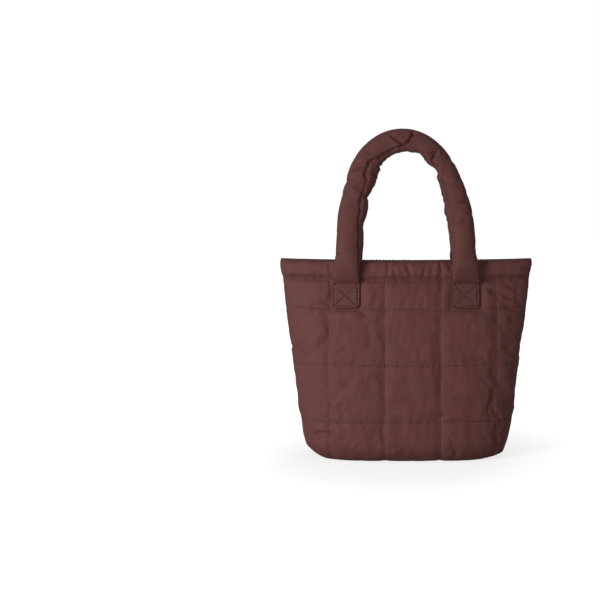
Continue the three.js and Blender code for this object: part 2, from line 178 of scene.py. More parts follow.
# Dents and streaks: size, lean, stretch, height, seed. Creases: the same with a depth.
DENTS = [
    (30.0, 48.0, 1.8, 0.6, 201), (15.0, 42.0, 2.2, 0.6, 202), (9.0, 50.0, 2.4, 0.45, 203),
    (5.5, 30.0, 2.5, 0.28, 204),
]
STREAKS = [(9.0, 6.0, 3.5, 0.5, 221), (5.0, -8.0, 4.0, 0.3, 222), (14.0, 12.0, 2.5, 0.45, 223)]
CREASES = [(26.0, 50.0, 1.8, 1.2, 301), (34.0, 62.0, 1.6, 1.1, 311), (20.0, 35.0, 2.2, 0.8, 321)]
CREASE_WIDTH = 0.1
FOLD_BEND = 2.2
HANDLE_FOLD_BEND = 1.0
CALM_MIDDLE = 0.4
CALM_WITHIN = 55.0
CALM_FADE = 45.0
COLUMN_BULGE = 1.2

# How far from the side seams, the rim and the floor wrinkles fade, and what is left at the floor
SIDE_CALM = 4.0
RIM_CALM = 9.0
BASE_CALM = 9.0
BASE_WRINKLES = 0.2

# The right lower corner stands out more than the left one: at what height and over what reach, how
# far, and from where across the bag
CORNER_AT = 4.0
CORNER_REACH = 10.0
CORNER_SPREAD = 7.0
CORNER_FROM = 100.0
CORNER_FADE = 30.0

SEAM_WOBBLE = 1.3

# Fine and broad puckers beside a seam: how long, how slanted, how far they reach and how high
LEVEL_PUCKERS = [(2.3, 0.3, 2.5, 0.7), (11.0, 0.4, 8.0, 0.6)]
UPRIGHT_PUCKERS = [(4.2, 0.3, 3.5, 0.15), (12.0, 0.6, 12.0, 0.25)]
PUCKER_START = 1.5

# The hem
HEM_GATHER = 0.2
HEM_GATHER_AT = 28.0
HEM_GATHER_SPAN = 42.0
HEM_ROLL = 2.6
HEM_TUCK = 1.3
HEM_TUCK_REACH = 3.0

# Folds of the handle: marks as distance along it and degrees round it from its inner side, then how
# broad and how deep the fold is
HANDLE_FOLDS = [
    ([(253, 125), (261, 85), (271, 62)], 2.0, 4.7),
    ([(278, 148), (279, 125), (275, 85), (272, 62)], 2.0, 4.4),
    ([(262, 50), (276, 45)], 3.5, 5.6),
    ([(62, 20), (90, 35), (120, 45), (157, 55), (178, 55)], 1.8, 2.1),
    ([(178, 55), (201, 75), (212, 75), (223, 48), (246, 45), (264, 58)], 2.0, 3.5),
    ([(188, 138), (196, 95), (201, 75)], 1.8, 4.2),
    ([(307, 75), (315, 105), (318, 58), (331, 45)], 2.0, 4.2),
    ([(331, 45), (360, 52), (381, 45), (395, 60)], 1.8, 2.4),
    ([(381, 45), (426, 42), (470, 30)], 1.8, 1.8),
    ([(389, 85), (392, 145)], 1.8, 2.2),
    ([(414, 90), (416, 120)], 1.8, 1.7),
]
HANDLE_DENTS = [
    (28.0, 30.0, 1.6, 0.6, 601), (15.0, -35.0, 1.8, 0.35, 602), (8.0, 20.0, 2.0, 0.15, 603),
]

# Stitches. Each is a short thread: place along it, width as a share, and rise above the cloth.
STITCH_PITCH = 4.6
STITCH_LENGTH = 2.6
STITCH_SIDES = 5
STITCH_INSET = 2.8
THREAD_WIDTH = 1.1
STITCH_FORM = [(0.0, 0.5, -0.3), (0.2, 1.0, 0.15), (0.8, 1.0, 0.15), (1.0, 0.5, -0.3)]
TOP_STITCH_DROP = 4.0

# Simulation
SIM_SCALE = 10.0
CLOTH_STIFFNESS = 15.0
CLOTH_QUALITY = 5
CLOTH_MASS = 0.3
AIR_DAMPING = 3.0
PADDING_HOLD = 0.25
PANEL_PRESSURE = 1.0
PANEL_GROWTH = 0.008
PANEL_BENDING = 3.0
PANEL_FRAMES = 20
PANEL_MOST = 4.0
STUFFING_HOLD = 0.3
HANDLE_PRESSURE = 1.0
HANDLE_GROWTH = 0.02
HANDLE_BENDING = 4.0
HANDLE_FRAMES = 20
HANDLE_MOST = 2.5

# Light
AMBIENT = 0.21
LIGHTS = [
    # name, place, aim, size, power, whether it shows in the cloth's sheen
    ("key", (-1.8, -1.6, 1.05), (0, 0, 0.15), 0.7, 29.0, True),
    ("fill", (-0.9, -1.1, 0.12), (-0.05, 0, 0.08), 0.5, 10.5, True),
    ("right", (1.5, -1.7, 0.4), (0, 0, 0.1), 1.0, 6.2, True),
    ("back", (1.0, 2.2, 0.9), (0, 0, 0.2), 1.6, 26.0, False),
    ("top", (0.2, 0.1, 2.4), (0, 0, 0.2), 1.6, 3.0, True),
]

# The floor: half its width, how bright it is near the bag, and from where to where it gets brighter.
# Its glow is dimmer near the bag, a painted shadow round it.
FLOOR_HALF = 12.0
FLOOR_TONE = 0.35
FLOOR_BOUNCE = 0.4
FLOOR_PAINTED_SHADOW_GLOW = 0.74
FLOOR_PAINTED_SHADOW_FROM, FLOOR_PAINTED_SHADOW_TO = 0.12, 0.4
FLOOR_SHINE = 0.1
FLOOR_SHINE_FROM, FLOOR_SHINE_TO = 0.15, 0.45

# Colours
PANEL_COLOUR = (0.108, 0.036, 0.033)
# The handle is the panel's nylon, painted a little darker as painted shade on the handle.
HANDLE_COLOUR_PAINTED_SHADE = (0.099, 0.033, 0.03)
# Near-black stitching thread: the thread's own dark colour and painted shade of the groove it lies
# in.
THREAD_AND_PAINTED_SHADE_COLOUR = (0.02, 0.006, 0.006)
# The quilting thread likewise: its own dark colour and painted shade along the quilting lines.
QUILTING_THREAD_AND_PAINTED_SHADE_COLOUR = (0.03, 0.01, 0.01)
COLOUR_CHANGE = 0.16
SHEEN = 0.04

# The photograph's view
CAMERA_DISTANCE = 1.5
CAMERA_HEIGHT = 0.335
CAMERA_PITCH = 4.5
LENS = 64.4
SENSOR = 36.0
BAG_OFFSET = 0.1767

WALL_DROP = BAG_HEIGHT - BASE_LIFT - FOOT_RADIUS
FOOT_DROP = WALL_DROP + FOOT_RADIUS * math.pi / 2


def smooth(share):
    s = np.clip(share, 0.0, 1.0)
    return s * s * (3 - 2 * s)


# The wall

SECTION_HEIGHTS = 120
SECTION_STEPS = 400
SHARE_STEPS = 240


def section_tables():
    """Half sections of the wall at many heights, by share of their length: x and y tables."""
    heights = np.linspace(0.0, BAG_HEIGHT, SECTION_HEIGHTS)
    up = heights / BAG_HEIGHT
    wide, deep, side, face = (np.interp(up, SECTIONS[:, 0], SECTIONS[:, k]) for k in range(1, 5))
    half_width = (FOOT_WIDTH + (RIM_WIDTH - FOOT_WIDTH) * wide) / 2
    half_depth = (RIM_DEPTH + (FOOT_DEPTH - RIM_DEPTH) * deep) / 2
    turn = np.linspace(0.0, math.pi / 2, SECTION_STEPS)
    shares = np.linspace(0.0, 1.0, SHARE_STEPS)
    xs, ys = [], []
    for i in range(SECTION_HEIGHTS):
        x = half_width[i] * np.clip(np.sin(turn), 0, 1) ** (2 / side[i])
        y = -half_depth[i] * np.clip(np.cos(turn), 0, 1) ** (2 / face[i])
        length = np.concatenate([[0], np.cumsum(np.hypot(np.diff(x), np.diff(y)))])
        xs.append(np.interp(shares * length[-1], length, x))
        ys.append(np.interp(shares * length[-1], length, y))
    return np.array(xs), np.array(ys), float(length[-1])


SECTION_X, SECTION_Y, PANEL_HALF = section_tables()


def look_up(table, height, share):
    """Reads a table of sections between its rows and columns."""
    r = np.clip(height / BAG_HEIGHT, 0, 1) * (table.shape[0] - 1)
    c = np.clip(share, 0, 1) * (table.shape[1] - 1)
    r0 = np.minimum(r.astype(int), table.shape[0] - 2)
    c0 = np.minimum(c.astype(int), table.shape[1] - 2)
    fr, fc = r - r0, c - c0
    top = table[r0, c0] * (1 - fc) + table[r0, c0 + 1] * fc
    low = table[r0 + 1, c0] * (1 - fc) + table[r0 + 1, c0 + 1] * fc
    return top * (1 - fr) + low * fr


SLOPE_X = np.gradient(SECTION_X, axis=1)
SLOPE_Y = np.gradient(SECTION_Y, axis=1)


def wall_points(across, drop):
    """Places on the middle of the wall. Below the wall's end the cloth rolls under the bag."""
    across, drop = np.broadcast_arrays(np.asarray(across, float), np.asarray(drop, float))
    roll = np.maximum(drop - WALL_DROP, 0) / FOOT_RADIUS
    straight = np.minimum(drop, WALL_DROP)
    height = BAG_HEIGHT - straight - FOOT_RADIUS * np.sin(roll)
    inset = FOOT_RADIUS * (1 - np.cos(roll))
    share = np.minimum(np.abs(across) / PANEL_HALF, 1)
    x, y = look_up(SECTION_X, height, share), look_up(SECTION_Y, height, share)
    tx, ty = look_up(SLOPE_X, height, share), look_up(SLOPE_Y, height, share)
    size = np.hypot(tx, ty)
    tx, ty = tx / size, ty / size
    side = np.where(across < 0, -1.0, 1.0)
    sag = RIM_SAG * (1 - share ** 2) * (1 - smooth(drop / WALL_DROP))
    return np.stack([
        side * (x - inset * ty * (1 + SIDE_TUCK * ty)),
        y + inset * tx,
        height - sag,
    ], axis=-1)


def wall_normals(across, drop):
    step = 1.0
    right = wall_points(across + step, drop) - wall_points(across - step, drop)
    down = wall_points(across, drop + step) - wall_points(across, drop - step)
    normal = np.cross(down, right)
    return normal / np.linalg.norm(normal, axis=-1, keepdims=True)


def corner_of_base():
    """How far across a panel its section turns from the face to the side, at the base."""
    share = np.linspace(0, 1, 200)
    height = np.full(200, BASE_LIFT)
    tx, ty = look_up(SLOPE_X, height, share), look_up(SLOPE_Y, height, share)
    return PANEL_HALF * share[np.argmax(ty > tx)]


CORNER = corner_of_base()
BASE_HALF_DEPTH = float(-wall_points(0.0, FOOT_DROP)[1])
UPRIGHT_SEAMS = [QUILT_SHIFT + (k + 0.5) * QUILT_PITCH for k in (-2, -1, 0, 1)]
LEVEL_SEAMS = [HEM_HEIGHT, *np.arange(FIRST_ROW_DROP, FOOT_DROP + BASE_HALF_DEPTH, QUILT_PITCH)]


def spaced(marks, step):
    """Grid lines through all marks, evenly spaced between them."""
    lines = [marks[0]]
    for low, high in zip(marks, marks[1:]):
        count = max(1, round((high - low) / step))
        lines += list(np.linspace(low, high, count + 1)[1:])
    return np.array(lines)


def vertex_normals(points, quads):
    a, b, c, d = (points[quads[:, i]] for i in range(4))
    face = np.cross(c - a, d - b)
    normals = np.zeros_like(points)
    for i in range(4):
        np.add.at(normals, quads[:, i], face)
    return normals / np.maximum(np.linalg.norm(normals, axis=1, keepdims=True), 1e-9)


def grid_quads(index):
    """Quads of a grid of vertex numbers, facing out of the front panel."""
    a, b = index[:-1, :-1].ravel(), index[1:, :-1].ravel()
    c, d = index[1:, 1:].ravel(), index[:-1, 1:].ravel()
    return np.stack([a, b, c, d], axis=1)


def panel_sheet():
    """The middle of a panel's wall: points, cloth coordinates and quads. The seams wobble a bit."""
    side_seams = [s for s in (UPRIGHT_SEAMS[-1], -UPRIGHT_SEAMS[0]) if s > CORNER + CLOTH_STEP]
    side = spaced([CORNER, *sorted(side_seams), PANEL_HALF], CLOTH_STEP)
    face_marks = [s for s in UPRIGHT_SEAMS if abs(s) < CORNER - CLOTH_STEP]
    face = spaced([-CORNER, *face_marks, CORNER], CLOTH_STEP)
    columns = np.concatenate([-side[::-1], face[1:-1], side])
    wall_seams = [s for s in LEVEL_SEAMS if s < WALL_DROP]
    rows = spaced([0.0, *wall_seams, WALL_DROP, FOOT_DROP], CLOTH_STEP)
    across, drop = np.meshgrid(columns, rows)
    wall = np.arange(across.size).reshape(across.shape)
    calm = smooth((PANEL_HALF - np.abs(across)) / 30) * smooth(drop / 30)
    calm = calm * smooth((WALL_DROP - drop) / 30) * (1 - tab_press(across, drop, 12.0))
    sideways = SEAM_WOBBLE * calm * patches(across, drop, 40.0, 0.0, 1.0, 401)
    downwards = SEAM_WOBBLE * calm * patches(across, drop, 34.0, 0.0, 1.0, 402)
    points = wall_points(across + sideways, drop + downwards).reshape(-1, 3)
    cloth = np.stack([across.ravel(), drop.ravel()], axis=1)
    quads = [grid_quads(wall)]

    # Half of the base, a sheet between the end of the roll and the middle seam under the bag
    n = len(side)
    foot = wall[-1]
    left, right = foot[:n][::-1], foot[-n:]
    front = foot[n - 1:len(foot) - n + 1]
    share = ((face - face[0]) / (face[-1] - face[0]))[1:-1, None]
    base = np.zeros((n, len(face)), int)
    base[0] = front
    extra_points, extra_cloth = [], []
    count = len(points)
    for r in range(1, n):
        down = (side[r] - CORNER) / (PANEL_HALF - CORNER)
        ends = points[left[r]] * (1 - share) + points[right[r]] * share
        front_ends = points[left[0]] * (1 - share) + points[right[0]] * share
        row = ends + (points[front[1:-1]] - front_ends) * (1 - down)
        base[r, 0], base[r, -1] = left[r], right[r]
        base[r, 1:-1] = count + np.arange(len(row))
        count += len(row)
        extra_points.append(row)
        along = np.full(len(row), FOOT_DROP + BASE_HALF_DEPTH * down)
        extra_cloth.append(np.stack([face[1:-1], along], axis=1))
    points = np.concatenate([points, *extra_points])
    cloth = np.concatenate([cloth, *extra_cloth])
    quads.append(grid_quads(base))
    return points, cloth, np.concatenate(quads)


# Meshes

def new_object(name, points, faces, cloth=None, places=None):
    """A mesh object from points in millimetres. Its UV map holds cloth coordinates, in metres, and
    cloth_place holds three numbers that tell where a vertex is on the piece."""
    mesh = bpy.data.meshes.new(name)
    mesh.from_pydata((np.asarray(points) * MM).tolist(), [], [list(map(int, f)) for f in faces])
    if cloth is not None:
        layer = mesh.uv_layers.new(name="cloth")
        corners = np.zeros(len(mesh.loops), int)
        mesh.loops.foreach_get("vertex_index", corners)
        layer.data.foreach_set("uv", (np.asarray(cloth)[corners] * MM).ravel())
        mesh.attributes.new("cloth_place", "FLOAT_VECTOR", "POINT")
        mesh.attributes["cloth_place"].data.foreach_set("vector", places.ravel())
    mesh.polygons.foreach_set("use_smooth", np.ones(len(mesh.polygons), bool))
    mesh.update()
    piece = bpy.data.objects.new(name, mesh)
    bpy.context.scene.collection.objects.link(piece)
    return piece


def get_points(mesh):
    points = np.zeros(len(mesh.vertices) * 3)
    mesh.vertices.foreach_get("co", points)
    return points.reshape(-1, 3) / MM


def get_normals(mesh):
    normals = np.zeros(len(mesh.vertices) * 3)
    mesh.vertex_normals.foreach_get("vector", normals)
    return normals.reshape(-1, 3)


def get_places(mesh):
    """What cloth_place holds. On a panel it is across, drop and the side, 1 outside and -1 inside. On
    a handle it is the cosine and sine of the turn round the tube, and the distance along it."""
    places = np.zeros(len(mesh.vertices) * 3)
    mesh.attributes["cloth_place"].data.foreach_get("vector", places)
    return places.reshape(-1, 3)


def close_round(mesh):
    """Carries a tube's UV map on over the faces where its turn starts again."""
    corners = np.zeros(len(mesh.loops) * 2)
    layer = mesh.uv_layers["cloth"].data
    layer.foreach_get("uv", corners)
    corners = corners.reshape(-1, 2)
    whole = math.pi * HANDLE_WIDTH * MM
    for polygon in mesh.polygons:
        own = np.array(polygon.loop_indices)
        if len(own) == 4 and np.ptp(corners[own, 0]) > whole / 2:
            corners[own[corners[own, 0] < whole / 2], 0] += whole
    layer.foreach_set("uv", corners.ravel())


def set_points(mesh, points):
    mesh.vertices.foreach_set("co", (points * MM).ravel())
    mesh.update()


def subdivide(piece):
    modifier = piece.modifiers.new("finer", "SUBSURF")
    modifier.levels = modifier.render_levels = 1
    modifier.uv_smooth = "NONE"
    graph = bpy.context.evaluated_depsgraph_get()
    mesh = bpy.data.meshes.new_from_object(piece.evaluated_get(graph))
    piece.modifiers.clear()
    piece.data = mesh


def open_edges(faces):
    """Edges that only one face has, in that face's direction."""
    edges = set()
    for face in faces.tolist():
        for a, b in zip(face, face[1:] + face[:1]):
            if (b, a) in edges:
                edges.discard((b, a))
            else:
                edges.add((a, b))
    return sorted(edges)


# Cloth simulation

def drape(points, faces, hold, growth, pressure, bending, frames, rest=None):
    """Lets a closed sheet of cloth settle. hold is 1 where it is sewn down and less where it is
    only padded. growth is how much longer the cloth is than its shape."""
    piece = new_object("draping", points * SIM_SCALE, faces)
    group = piece.vertex_groups.new(name="hold")
    for weight in np.unique(hold):
        if weight > 0:
            group.add(np.flatnonzero(hold == weight).tolist(), float(weight), "REPLACE")
    if rest is not None:
        piece.shape_key_add(name="now")
        key = piece.shape_key_add(name="cut")
        key.data.foreach_set("co", (rest * SIM_SCALE * MM).ravel())
        key.value = 0.0
    modifier = piece.modifiers.new("cloth", "CLOTH")
    settings = modifier.settings
    if rest is not None:
        settings.rest_shape_key = piece.data.shape_keys.key_blocks["cut"]
    settings.quality = CLOTH_QUALITY
    settings.mass = CLOTH_MASS
    settings.tension_stiffness = settings.compression_stiffness = CLOTH_STIFFNESS
    settings.shear_stiffness = CLOTH_STIFFNESS / 3
    settings.bending_stiffness = bending
    settings.vertex_group_mass = "hold"
    settings.pin_stiffness = 1.0
    settings.use_pressure = True
    settings.uniform_pressure_force = pressure
    settings.shrink_min = settings.shrink_max = -growth
    settings.effector_weights.gravity = 0
    settings.air_damping = AIR_DAMPING
    modifier.collision_settings.use_collision = False
    modifier.point_cache.frame_start = 1
    modifier.point_cache.frame_end = frames
    scene = bpy.context.scene
    for number in range(1, frames + 1):
        scene.frame_set(number)
    graph = bpy.context.evaluated_depsgraph_get()
    settled = get_points(piece.evaluated_get(graph).data) / SIM_SCALE
    bpy.data.objects.remove(piece)
    scene.frame_set(1)
    return settled


def limited(moved, start, most):
    """Points that are nowhere further than most from where they started."""
    step = moved - start
    size = np.linalg.norm(step, axis=1, keepdims=True)
    return start + step * np.minimum(1, most / np.maximum(size, 1e-9))


# Wrinkles

def ripple(places, length, seed):
    """Smooth random values from -1 to 1 along a line, with a new one every length."""
    knots = np.random.default_rng(seed).uniform(-1, 1, 1024)
    at = np.asarray(places) / length + 512
    low = np.floor(at).astype(int) % 1023
    return knots[low] + (knots[low + 1] - knots[low]) * smooth(at - np.floor(at))


def patches(x, y, size, lean, stretch, seed):
    """Smooth random values from -1 to 1 over a surface, drawn out along a lean from upright."""
    turn = math.radians(lean)
    u = (x * math.cos(turn) - y * math.sin(turn)) / size + 100
    v = (x * math.sin(turn) + y * math.cos(turn)) / (size * stretch) + 100
    knots = np.random.default_rng(seed).uniform(-1, 1, (256, 256))
    iu, iv = np.floor(u).astype(int), np.floor(v).astype(int)
    fu, fv = smooth(u - iu), smooth(v - iv)
    iu, iv = iu % 255, iv % 255
    low = knots[iu, iv] + (knots[iu + 1, iv] - knots[iu, iv]) * fu
    high = knots[iu, iv + 1] + (knots[iu + 1, iv + 1] - knots[iu, iv + 1]) * fu
    return low + (high - low) * fv


def puckers(along, beside, waves, seed):
    length, slant, reach, height = waves
    return height * ripple(along + slant * beside, length, seed) * np.exp(-beside / reach)


def seam_puckers(across, drop):
    """How far small gathers beside the stitching lift the cloth."""
    lift = np.zeros_like(across)
    for number, seam in enumerate(LEVEL_SEAMS):
        beside = np.abs(drop - seam)
        fine = puckers(across, beside, LEVEL_PUCKERS[0], 10 + number)
        broad = puckers(across, beside, LEVEL_PUCKERS[1], 30 + number)
        lift += fine + broad * (1 - np.exp(-beside / PUCKER_START))
    for number, seam in enumerate(UPRIGHT_SEAMS):
        beside = np.abs(across - seam)
        fine = puckers(drop, beside, UPRIGHT_PUCKERS[0], 50 + number)
        broad = puckers(drop, beside, UPRIGHT_PUCKERS[1], 70 + number)
        lift += (fine + broad) * (1 - np.exp(-beside / PUCKER_START))
    return lift


def column_bulge(across):
    """Each column between two upright seams stands out a little more in its middle."""
    place = np.mod((across - UPRIGHT_SEAMS[0]) / QUILT_PITCH, 1.0) * 2 - 1
    return COLUMN_BULGE * (1 - place ** 2)


def crumple(across, drop):
    """Soft dents and some sharper creases that slant outwards and down, calmer in the middle."""
    right_side = smooth((across + 30) / 60)
    lift = np.zeros_like(across)
    for sign, there in ((-1, 1 - right_side), (1, right_side)):
        for size, lean, stretch, height, seed in DENTS:
            lift += there * height * patches(across, drop, size, sign * lean, stretch, seed)
        for size, lean, stretch, depth, seed in CREASES:
            line = np.abs(patches(across, drop, size, sign * lean, stretch, seed))
            here = there * smooth(patches(across, drop, 17.0, 0.0, 1.0, seed + 1) * 2.5 - 0.2)
            lift -= depth * here * np.exp(-(line / CREASE_WIDTH) ** 2)
    off_middle = smooth((np.abs(across) - CALM_WITHIN) / CALM_FADE)
    low = smooth((drop - 200) / 40)
    lift *= CALM_MIDDLE + (1 - CALM_MIDDLE) * np.maximum(off_middle, low)
    for size, lean, stretch, height, seed in STREAKS:
        lift += height * patches(across, drop, size, lean, stretch, seed)
    return lift


def hem_gathers(across, drop):
    """Upright gathers over the hem, strongest a little right of its middle."""
    in_hem = smooth((drop - 2) / 6) * smooth((HEM_HEIGHT - 1 - drop) / 5)
    strong = 0.3 + np.exp(-((across - HEM_GATHER_AT) / HEM_GATHER_SPAN) ** 2)
    wave = ripple(across + 0.15 * drop, 6.0, 91) + 0.8 * ripple(across - 0.2 * drop, 14.0, 92)
    tuck = HEM_TUCK * np.exp(-((drop - HEM_HEIGHT) / HEM_TUCK_REACH) ** 2)
    roll = HEM_ROLL * smooth(drop / 5) * smooth((HEM_HEIGHT + 0.5 - drop) / 5) * (1.4 - 0.035 * drop)
    return HEM_GATHER * wave * in_hem * strong + roll - tuck


def from_line(x, y, line):
    """Distance of places from a line through marks, and their share of the way along it."""
    nearest, where = np.full_like(x, 1e9), np.zeros_like(x)
    whole = sum(math.dist(a, b) for a, b in zip(line, line[1:]))
    passed = 0.0
    for (ax, ay), (bx, by) in zip(line, line[1:]):
        dx, dy = bx - ax, by - ay
        share = np.clip(((x - ax) * dx + (y - ay) * dy) / (dx * dx + dy * dy), 0, 1)
        distance = np.hypot(x - ax - share * dx, y - ay - share * dy)
        where = np.where(distance < nearest, passed + share * math.hypot(dx, dy) / whole, where)
        nearest = np.minimum(nearest, distance)
        passed += math.hypot(dx, dy) / whole
    return nearest, where


def fold(x, y, line, broad, deep, bend):
    """How far a fold along a line lifts the cloth: an uneven valley that fades at its ends."""
    bent_x = x + bend * patches(x, y, 8.0, 0.0, 1.0, 411)
    bent_y = y + bend * patches(x, y, 8.0, 0.0, 1.0, 412)
    beside, where = from_line(bent_x, bent_y, line)
    beside = beside / (broad * (1 + 0.4 * patches(x, y, 10.0, 0.0, 1.0, 413)))
    fade = smooth(where / 0.2) * smooth((1 - where) / 0.2)
    return deep * (0.3 + 0.7 * fade) * (0.2 * np.exp(-(beside - 2.4) ** 2) - np.exp(-beside ** 2))


# The panels

def tab_press(across, drop, margin):
    """1 under a handle's tab, fading to 0 outside it."""
    beside = np.abs(np.abs(across) - HANDLE_SPREAD / 2) - TAB_WIDTH / 2
    below = np.abs(drop - TAB_DROP - TAB_LENGTH / 2) - TAB_LENGTH / 2
    return 1 - smooth((np.maximum(beside, below) - 2) / margin)


def fullness(distance):
    near = 1 - np.minimum(np.abs(distance) / PUFF_REACH, 1)
    return np.sqrt(1 - near * near)


def loft(across, drop):
    """How full the padding is, from 0 at a tight seam to about 1."""
    from_side = fullness(PANEL_HALF - np.abs(across))
    full = from_side
    for seam in UPRIGHT_SEAMS:
        pull = MIDDLE_PULL if abs(seam) < QUILT_PITCH else OUTER_PULL
        full = full * (1 - pull * (1 - fullness(across - seam)))
    for number, seam in enumerate(LEVEL_SEAMS):
        pull = HEM_PULL if number == 0 else LEVEL_PULL
        full = full * (1 - pull * (1 - fullness(drop - seam)))
    boxed = np.abs(across) >= CORNER
    full = np.where(boxed, full * fullness(drop - FOOT_DROP), full)
    skewed = (np.clip(drop, 0, HEM_HEIGHT) / HEM_HEIGHT) ** HEM_SKEW
    roll = np.sqrt(np.clip(1 - (2 * skewed - 1) ** 2, 0, 1)) * HEM_FULLNESS
    full = np.where(drop < HEM_HEIGHT, roll * from_side, full)
    pressed = tab_press(across, drop, 9.0)
    return full + (PRESSED_LOFT - full) * pressed


def sewn_down(across, drop):
    """1 on the quilting lines, the panel's edges and under the tabs."""
    sewn = np.zeros_like(across)
    for seam in UPRIGHT_SEAMS:
        sewn[np.abs(across - seam) < 0.1] = 1
    for seam in LEVEL_SEAMS:
        sewn[np.abs(drop - seam) < 0.1] = 1
    sewn[(np.abs(across) > CORNER - 0.1) & (np.abs(drop - FOOT_DROP) < 0.1)] = 1
    sewn[(np.abs(across) > PANEL_HALF - 0.1) | (drop < 0.1)] = 1
    sewn[drop > FOOT_DROP + BASE_HALF_DEPTH - 0.1] = 1
    sewn[tab_press(across, drop, 0.5) > 0] = 1
    return sewn


def panel_shape(simulated):
    """The closed padded sheet of a panel: points, cloth coordinates, sides and faces."""
    middle, cloth, quads = panel_sheet()
    normals = vertex_normals(middle, quads)
    count = len(middle)
    across, drop = cloth[:, 0], cloth[:, 1]
    reach = SEAM_THICKNESS / 2 + PUFF_HEIGHT * loft(across, drop)
    edge = open_edges(quads)
    on_edge = np.zeros(count, bool)
    on_edge[[a for a, _ in edge]] = True
    outer = middle + normals * reach[:, None]
    inner = middle - normals * reach[:, None]
    points = np.concatenate([outer, inner])
    both = np.concatenate([cloth, cloth])
    side = np.repeat([1.0, -1.0], count)
    strip = np.array([(b, a, a + count, b + count) for a, b in edge])
    faces = np.concatenate([quads, quads[:, ::-1] + count, strip])
    points[:, 1] = np.minimum(points[:, 1], -PANEL_GAP / 2)
    points[:, 2] = np.clip(points[:, 2], 0, BAG_HEIGHT)
    if simulated:
        hold = sewn_down(both[:, 0], both[:, 1])
        hold[np.concatenate([on_edge, on_edge])] = 1
        hold[hold == 0] = PADDING_HOLD
        settled = drape(points, faces, hold, PANEL_GROWTH, PANEL_PRESSURE, PANEL_BENDING,
                        PANEL_FRAMES)
        points = limited(settled, points, PANEL_MOST)
    return points, both, side, faces


def make_panel(name, shape, turned):
    points, cloth, side, faces = shape
    piece = new_object(name, points, faces, cloth, np.column_stack([cloth, side]))
    subdivide(piece)
    mesh = piece.data
    places = get_places(mesh)
    across, drop = places[:, 0], places[:, 1]
    points, normals = get_points(mesh), get_normals(mesh)
    edge = np.minimum((PANEL_HALF - np.abs(across)) / SIDE_CALM, drop / RIM_CALM)
    free = smooth(edge) * (1 - tab_press(across, drop, 4.0)) * (places[:, 2] > 0.5)
    free = free * smooth((FOOT_DROP + BASE_HALF_DEPTH - drop) / SIDE_CALM)
    lift = seam_puckers(across, drop) + crumple(across, drop) + hem_gathers(across, drop)
    for line, broad, deep in PANEL_FOLDS:
        lift += fold(across, drop, line, broad, deep, FOLD_BEND)
    free *= BASE_WRINKLES + (1 - BASE_WRINKLES) * smooth((points[:, 2] - 1) / BASE_CALM)
    lift *= free
    body = smooth((drop - HEM_HEIGHT) / 20) * smooth((WALL_DROP - drop) / 30)
    lift += column_bulge(across) * free * body * smooth((CORNER - np.abs(across)) / 20)
    points = points + normals * lift[:, None]
    points[points[:, 1] > -SEAM_CLOSE, 1] = -PANEL_GAP / 2
    points[:, 2] = np.clip(points[:, 2], 0, BAG_HEIGHT + 1.5)
    if turned:
        points[:, :2] *= -1
    by_side = smooth((points[:, 0] - CORNER_FROM) / CORNER_FADE)
    by_height = np.exp(-((points[:, 2] - CORNER_AT) / CORNER_REACH) ** 2)
    points[:, 0] += CORNER_SPREAD * by_side * by_height
    set_points(mesh, points)
    mesh.materials.append(panel_cloth)
    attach(piece, "root")
    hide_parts(name.replace("_cloth", ""))
    return piece


# The handles

def spline(marks, step):
    """A smooth line through marks, sampled about every step: points and place between marks."""
    marks = np.asarray(marks, float)
    gaps = np.sqrt(np.linalg.norm(np.diff(marks, axis=0), axis=1))
    out, where = [], []
    last = len(marks) - 1
    for i in range(last):
        p1, p2 = marks[i], marks[i + 1]
        p0 = marks[i - 1] if i > 0 else 2 * p1 - p2
        p3 = marks[i + 2] if i + 2 <= last else 2 * p2 - p1
        d0 = gaps[i - 1] if i > 0 else gaps[i]
        d1 = gaps[i]
        d2 = gaps[i + 1] if i + 1 < last else gaps[i]
        t1 = ((p1 - p0) / d0 - (p2 - p0) / (d0 + d1) + (p2 - p1) / d1) * d1
        t2 = ((p2 - p1) / d1 - (p3 - p1) / (d1 + d2) + (p3 - p2) / d2) * d1
        steps = max(1, round(np.linalg.norm(p2 - p1) / step))
        for k in range(steps + (i == last - 1)):
            t = k / steps
            start = (2 * t ** 3 - 3 * t ** 2 + 1) * p1 + (t ** 3 - 2 * t ** 2 + t) * t1
            end = (3 * t ** 2 - 2 * t ** 3) * p2 + (t ** 3 - t ** 2) * t2
            out.append(start + end)
            where.append(i + t)
    return np.array(out), np.array(where)


def handle_marks():
    """Marks along a handle: centre, outward direction, width, thickness, squareness."""
    rows = []
    legs = []
    for sign in (-1, 1):
        leg = []
        for rise, wide, thick, square, inward in LEG:
            across = sign * HANDLE_SPREAD / 2 * (1 - inward)
            drop = (TAB_DROP + TAB_LENGTH) * (1 - rise)
            width = HANDLE_WIDTH + (TAB_WIDTH - HANDLE_WIDTH) * wide
            thickness = TAB_THICKNESS + (HANDLE_THICKNESS - TAB_THICKNESS) * thick
            out = wall_normals(across, max(drop, 1.0))
            full = float(loft(np.array(across), np.array(max(drop, HEM_REST))))
            reach = SEAM_THICKNESS / 2 + PUFF_HEIGHT * full
            centre = wall_points(across, drop) + out * (reach + HANDLE_CLEARANCE + thickness / 2)
            leg.append((centre, out, width, thickness, square))
        legs.append(leg)
    rim = legs[0][-1][0]
    end = -(HANDLE_THICKNESS + HANDLE_CLEARANCE) / 2
    arch = []
    for across, up, lean in ARCH:
        y = rim[1] + (end - rim[1]) * lean
        centre = np.array((across * HANDLE_SPREAD / 2, y, BAG_HEIGHT + up * HANDLE_RISE))
        arch.append((centre, np.array((0, -1.0, 0)), HANDLE_WIDTH, HANDLE_THICKNESS, TUBE_SQUARENESS))
    return legs[0] + arch + legs[1][::-1]


